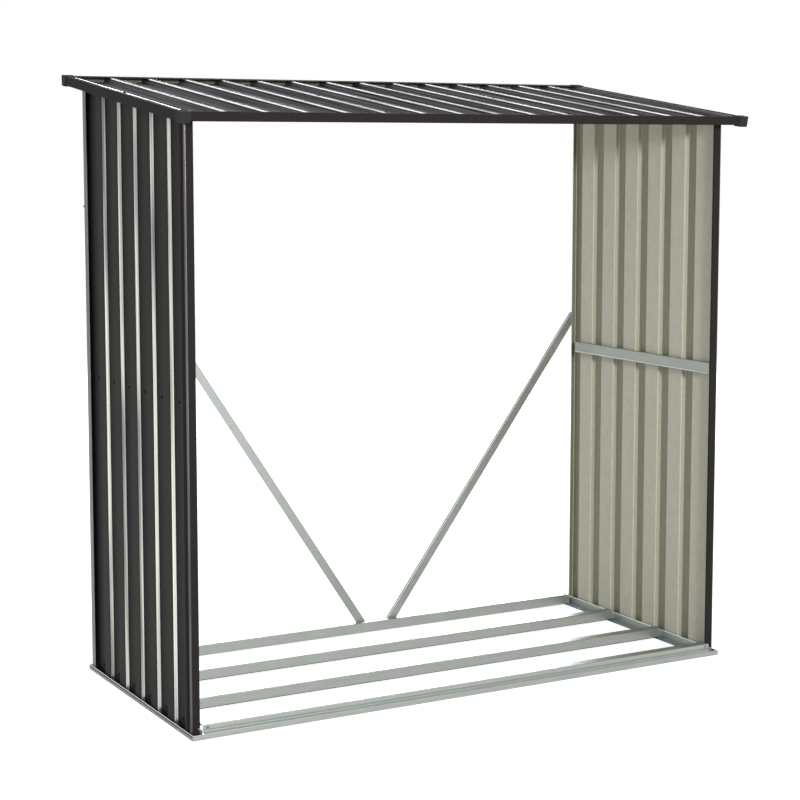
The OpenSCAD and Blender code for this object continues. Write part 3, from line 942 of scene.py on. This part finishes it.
def softbox(name, at, width, height, power):
    data = bpy.data.lights.new(name, "AREA")
    data.shape, data.size, data.size_y, data.energy = "RECTANGLE", width, height, power
    lamp = linked(name, data)
    lamp.location = at
    lamp.rotation_euler = (Vector(LIT_MIDDLE) - Vector(at)).to_track_quat("-Z", "Y").to_euler()
    lamp.visible_camera = False


def camera():
    data = bpy.data.cameras.new("camera")
    data.sensor_width, data.lens, data.shift_y, data.clip_end = SENSOR, CAMERA_LENS, CAMERA_SHIFT, SIGHT
    made = linked("camera", data)
    made.location = CAMERA_PLACE
    made.rotation_euler = (math.radians(90) - CAMERA_DOWN, 0, -CAMERA_RIGHT)
    bpy.context.scene.camera = made


# ---- settings a user would change ------------------------

class LogStoreSizes(bpy.types.PropertyGroup):
    fold_radius: FloatProperty(
        name="Fold radius", description="Inner radius of a fold in the frame and trims",
        default=1.2 * MM, min=0.2 * MM, max=4 * MM, unit="LENGTH")
    post_radius: FloatProperty(
        name="Post radius", description="Inner radius of a fold in the posts",
        default=3.2 * MM, min=0.5 * MM, max=6 * MM, unit="LENGTH")
    rib_radius: FloatProperty(
        name="Rib radius", description="Inner radius of the wall ribs' folds",
        default=1.8 * MM, min=0.2 * MM, max=4 * MM, unit="LENGTH")
    swage_count: IntProperty(
        name="Swages", description="Stiffening ridges across each flat pan of the roof",
        default=5, min=0, max=8)
    swage_height: FloatProperty(
        name="Swage height", description="Height of a stiffening ridge",
        default=1.3 * MM, min=0.2 * MM, max=3 * MM, unit="LENGTH")
    screw_head: FloatProperty(
        name="Screw head", description="Diameter of a screw's head",
        default=6 * MM, min=4 * MM, max=12 * MM, unit="LENGTH")


def colour_property(name, description, hex_colour):
    return FloatVectorProperty(name=name, description=description, subtype="COLOR", size=4,
                               min=0.0, max=1.0, default=linear(hex_colour))


class LogStoreColours(bpy.types.PropertyGroup):
    zinc: colour_property("Galvanising", "Base frame, rails and braces", "9da29d")
    # Painted highlights on the galvanised folds and lips.
    bright: colour_property("Rubbed folds", "Side rails' folds and mid rails' lips", "eceff0")
    # Painted shade on lips, grooves and folds of the galvanised frame.
    lip: colour_property("Lips and grooves", "Painted shade on the side rails' lips, front groove and beams' folds", "393b3d")
    # Painted sky reflection on the side rails' bottom flanges.
    seat: colour_property("Seats", "Painted sky reflection on the side rails' bottom flanges", "9fb0ba")
    wall: colour_property("Wall coat", "Outside of the side walls", "232224")
    roof: colour_property("Roof coat", "Top of the roof sheets", "535054")
    trim: colour_property("Trim coat", "Outside of the posts, fascia and back trim", "262322")
    rake: colour_property("Rake coat", "Outside of the sloping trims", "312f31")
    back_coat: colour_property("Back coat", "Inside of the walls, posts and roof", "bebdae")
    # Painted shade: the beige back coat darkened in the rib hollows.
    hollow: colour_property("Back coat in ribs", "Painted shade on the hollow side of the wall ribs", "989784")
    # Painted shade: dark olive inside the roof trims and back posts.
    primer: colour_property("Primer", "Painted shade inside the trims round the roof", "6b6a57")
    # Painted highlights on the wall ribs' flanks.
    flank: colour_property("Wall flanks", "Painted highlights on the wall ribs' flanks", "e2e1d8")
    # Painted highlights on the roof ribs' upper edges.
    crown: colour_property("Roof edges", "Painted highlights on the roof ribs' upper edges", "fafafa")
    # Painted highlights on the posts' folds and the back posts' legs.
    fold: colour_property("Folds", "Folds of the posts", "5a5859")
    cap: colour_property("Caps", "Moulded corner caps", "262425")
    screw: colour_property("Screws", "Zinc plated screws of the base frame", "84878a")


class LogStoreStage(bpy.types.PropertyGroup):
    room_light: FloatProperty(
        name="Room light", description="Light from all round", default=0.6, min=0.0, max=1.0)
    floor_lift: FloatProperty(
        name="Floor lift", description="Brings the pale floor up to white where it is seen",
        default=0.56, min=0.0, max=1.0)
    key_light: FloatProperty(
        name="Key light", description="Softbox in front, a little to the left, in watts",
        default=570.0, min=0.0, max=2000.0, unit="POWER")
    rim_light: FloatProperty(
        name="Rim light", description="Low softbox behind, in watts",
        default=300.0, min=0.0, max=2000.0, unit="POWER")


# ---- operators -------------------------------------------

class PieceOperator:
    """What every operator that makes pieces shares."""
    bl_options = {"REGISTER"}

    def execute(self, context):
        self.make(context.scene.log_store_sizes)
        return {"FINISHED"}


class LOGSTORE_OT_base_rails(PieceOperator, bpy.types.Operator):
    """Make the four rails of the base frame"""
    bl_idname = "logstore.base_rails"
    bl_label = "Base rails"

    def make(self, sizes):
        front_base_rail(sizes)
        back_base_rail(sizes)
        for side in SIDES:
            side_base_rail(f"{side}_base_rail", SIDES[side])


class LOGSTORE_OT_floor_beams(PieceOperator, bpy.types.Operator):
    """Make the two floor beams"""
    bl_idname = "logstore.floor_beams"
    bl_label = "Floor beams"

    def make(self, sizes):
        for end in ENDS:
            floor_beam(f"{end}_floor_beam", sizes)


class LOGSTORE_OT_walls(PieceOperator, bpy.types.Operator):
    """Make the ribbed side walls"""
    bl_idname = "logstore.walls"
    bl_label = "Wall sheets"

    def make(self, sizes):
        for side in SIDES:
            wall_sheet(f"{side}_wall_sheet", SIDES[side], sizes)


class LOGSTORE_OT_posts(PieceOperator, bpy.types.Operator):
    """Make the four corner posts"""
    bl_idname = "logstore.posts"
    bl_label = "Posts"

    def make(self, sizes):
        for side in SIDES:
            for end in ENDS:
                post(f"{end}_{side}_post", SIDES[side], sizes)


class LOGSTORE_OT_wall_rails(PieceOperator, bpy.types.Operator):
    """Make the rails along the inside of the walls"""
    bl_idname = "logstore.wall_rails"
    bl_label = "Wall rails"

    def make(self, sizes):
        for side in SIDES:
            mid_rail(f"{side}_mid_rail", SIDES[side], sizes)
            top_rail(f"{side}_top_rail", SIDES[side], sizes)


class LOGSTORE_OT_roof_rails(PieceOperator, bpy.types.Operator):
    """Make the rails across the front and back, under the roof"""
    bl_idname = "logstore.roof_rails"
    bl_label = "Roof rails"

    def make(self, sizes):
        for end in ENDS:
            roof_rail(f"{end}_roof_rail", sizes)


class LOGSTORE_OT_braces(PieceOperator, bpy.types.Operator):
    """Make the two braces across the back, with their screws"""
    bl_idname = "logstore.braces"
    bl_label = "Braces"

    def make(self, sizes):
        places = []
        for name in ("left_brace", "right_brace"):
            spot, length = brace(name)
            for share in (-0.5, 0.5):
                inset = math.copysign(12 * MM, -share)
                at = spot @ Vector((share * length + inset, 1.0 * MM, 0))
                places.append((at, Vector((0, 1, 0))))
        place_screws("brace_screws", places, screw_head(sizes), "galvanised_frame", "screw")


class LOGSTORE_OT_roof_sheets(PieceOperator, bpy.types.Operator):
    """Make the three ribbed roof sheets"""
    bl_idname = "logstore.roof_sheets"
    bl_label = "Roof sheets"

    def make(self, sizes):
        for name in ROOF_SHEETS:
            roof_sheet(name, sizes)


class LOGSTORE_OT_trims(PieceOperator, bpy.types.Operator):
    """Make the trims round the roof"""
    bl_idname = "logstore.trims"
    bl_label = "Roof trims"

    def make(self, sizes):
        for side in SIDES:
            rake_trim(f"{side}_rake_trim", SIDES[side], sizes)
        for name in ("front_fascia", "back_trim"):
            edge_trim(name, sizes)


class LOGSTORE_OT_caps(PieceOperator, bpy.types.Operator):
    """Make the moulded caps on the roof's corners"""
    bl_idname = "logstore.caps"
    bl_label = "Corner caps"

    def make(self, sizes):
        for side in SIDES:
            for end in ENDS:
                corner_cap(f"{end}_{side}_cap", SIDES[side])


class LOGSTORE_OT_screws(PieceOperator, bpy.types.Operator):
    """Make the screws that hold the frame, walls, posts and roof"""
    bl_idname = "logstore.screws"
    bl_label = "Screws"

    def make(self, sizes):
        head = screw_head(sizes)
        for name, places in screw_places().items():
            coat = "screw" if name == "base_screws" else "painted_screw"
            place_screws(name, places, head, SCREW_SLOTS[name], coat)


class LOGSTORE_OT_stage(bpy.types.Operator):
    """Make the pale floor, the lights and the camera"""
    bl_idname = "logstore.stage"
    bl_label = "Stage"

    def execute(self, context):
        stage = context.scene.log_store_stage
        white_world(stage)
        pale_floor(stage)
        softbox("key", *KEY_BOX, stage.key_light)
        softbox("rim", *RIM_BOX, stage.rim_light)
        camera()
        context.scene.view_settings.view_transform = "Standard"
        return {"FINISHED"}


PIECE_OPERATORS = (
    LOGSTORE_OT_base_rails, LOGSTORE_OT_floor_beams, LOGSTORE_OT_walls, LOGSTORE_OT_posts,
    LOGSTORE_OT_wall_rails, LOGSTORE_OT_roof_rails, LOGSTORE_OT_braces, LOGSTORE_OT_roof_sheets,
    LOGSTORE_OT_trims, LOGSTORE_OT_caps, LOGSTORE_OT_screws, LOGSTORE_OT_stage,
)
SETTINGS = {
    "log_store_sizes": LogStoreSizes,
    "log_store_colours": LogStoreColours,
    "log_store_stage": LogStoreStage,
}


class LOGSTORE_PT_sidebar(bpy.types.Panel):
    """Sizes, colours and makers of the log store"""
    bl_idname = "LOGSTORE_PT_sidebar"
    bl_label = "Log Store"
    bl_space_type = "VIEW_3D"
    bl_region_type = "UI"
    bl_category = "Log Store"

    def draw(self, context):
        for name, group in SETTINGS.items():
            column = self.layout.column()
            for key in group.__annotations__:
                column.prop(getattr(context.scene, name), key)
        for operator in PIECE_OPERATORS:
            self.layout.operator(operator.bl_idname)


CLASSES = (*SETTINGS.values(), *PIECE_OPERATORS, LOGSTORE_PT_sidebar)


def register():
    for cls in CLASSES:
        bpy.utils.register_class(cls)
    for name, group in SETTINGS.items():
        setattr(bpy.types.Scene, name, PointerProperty(type=group))


def unregister():
    for name in SETTINGS:
        delattr(bpy.types.Scene, name)
    for cls in reversed(CLASSES):
        bpy.utils.unregister_class(cls)


def main():
    register()
    for operator in PIECE_OPERATORS:
        group, name = operator.bl_idname.split(".")
        getattr(getattr(bpy.ops, group), name)()


if __name__ == "__main__":
    main()
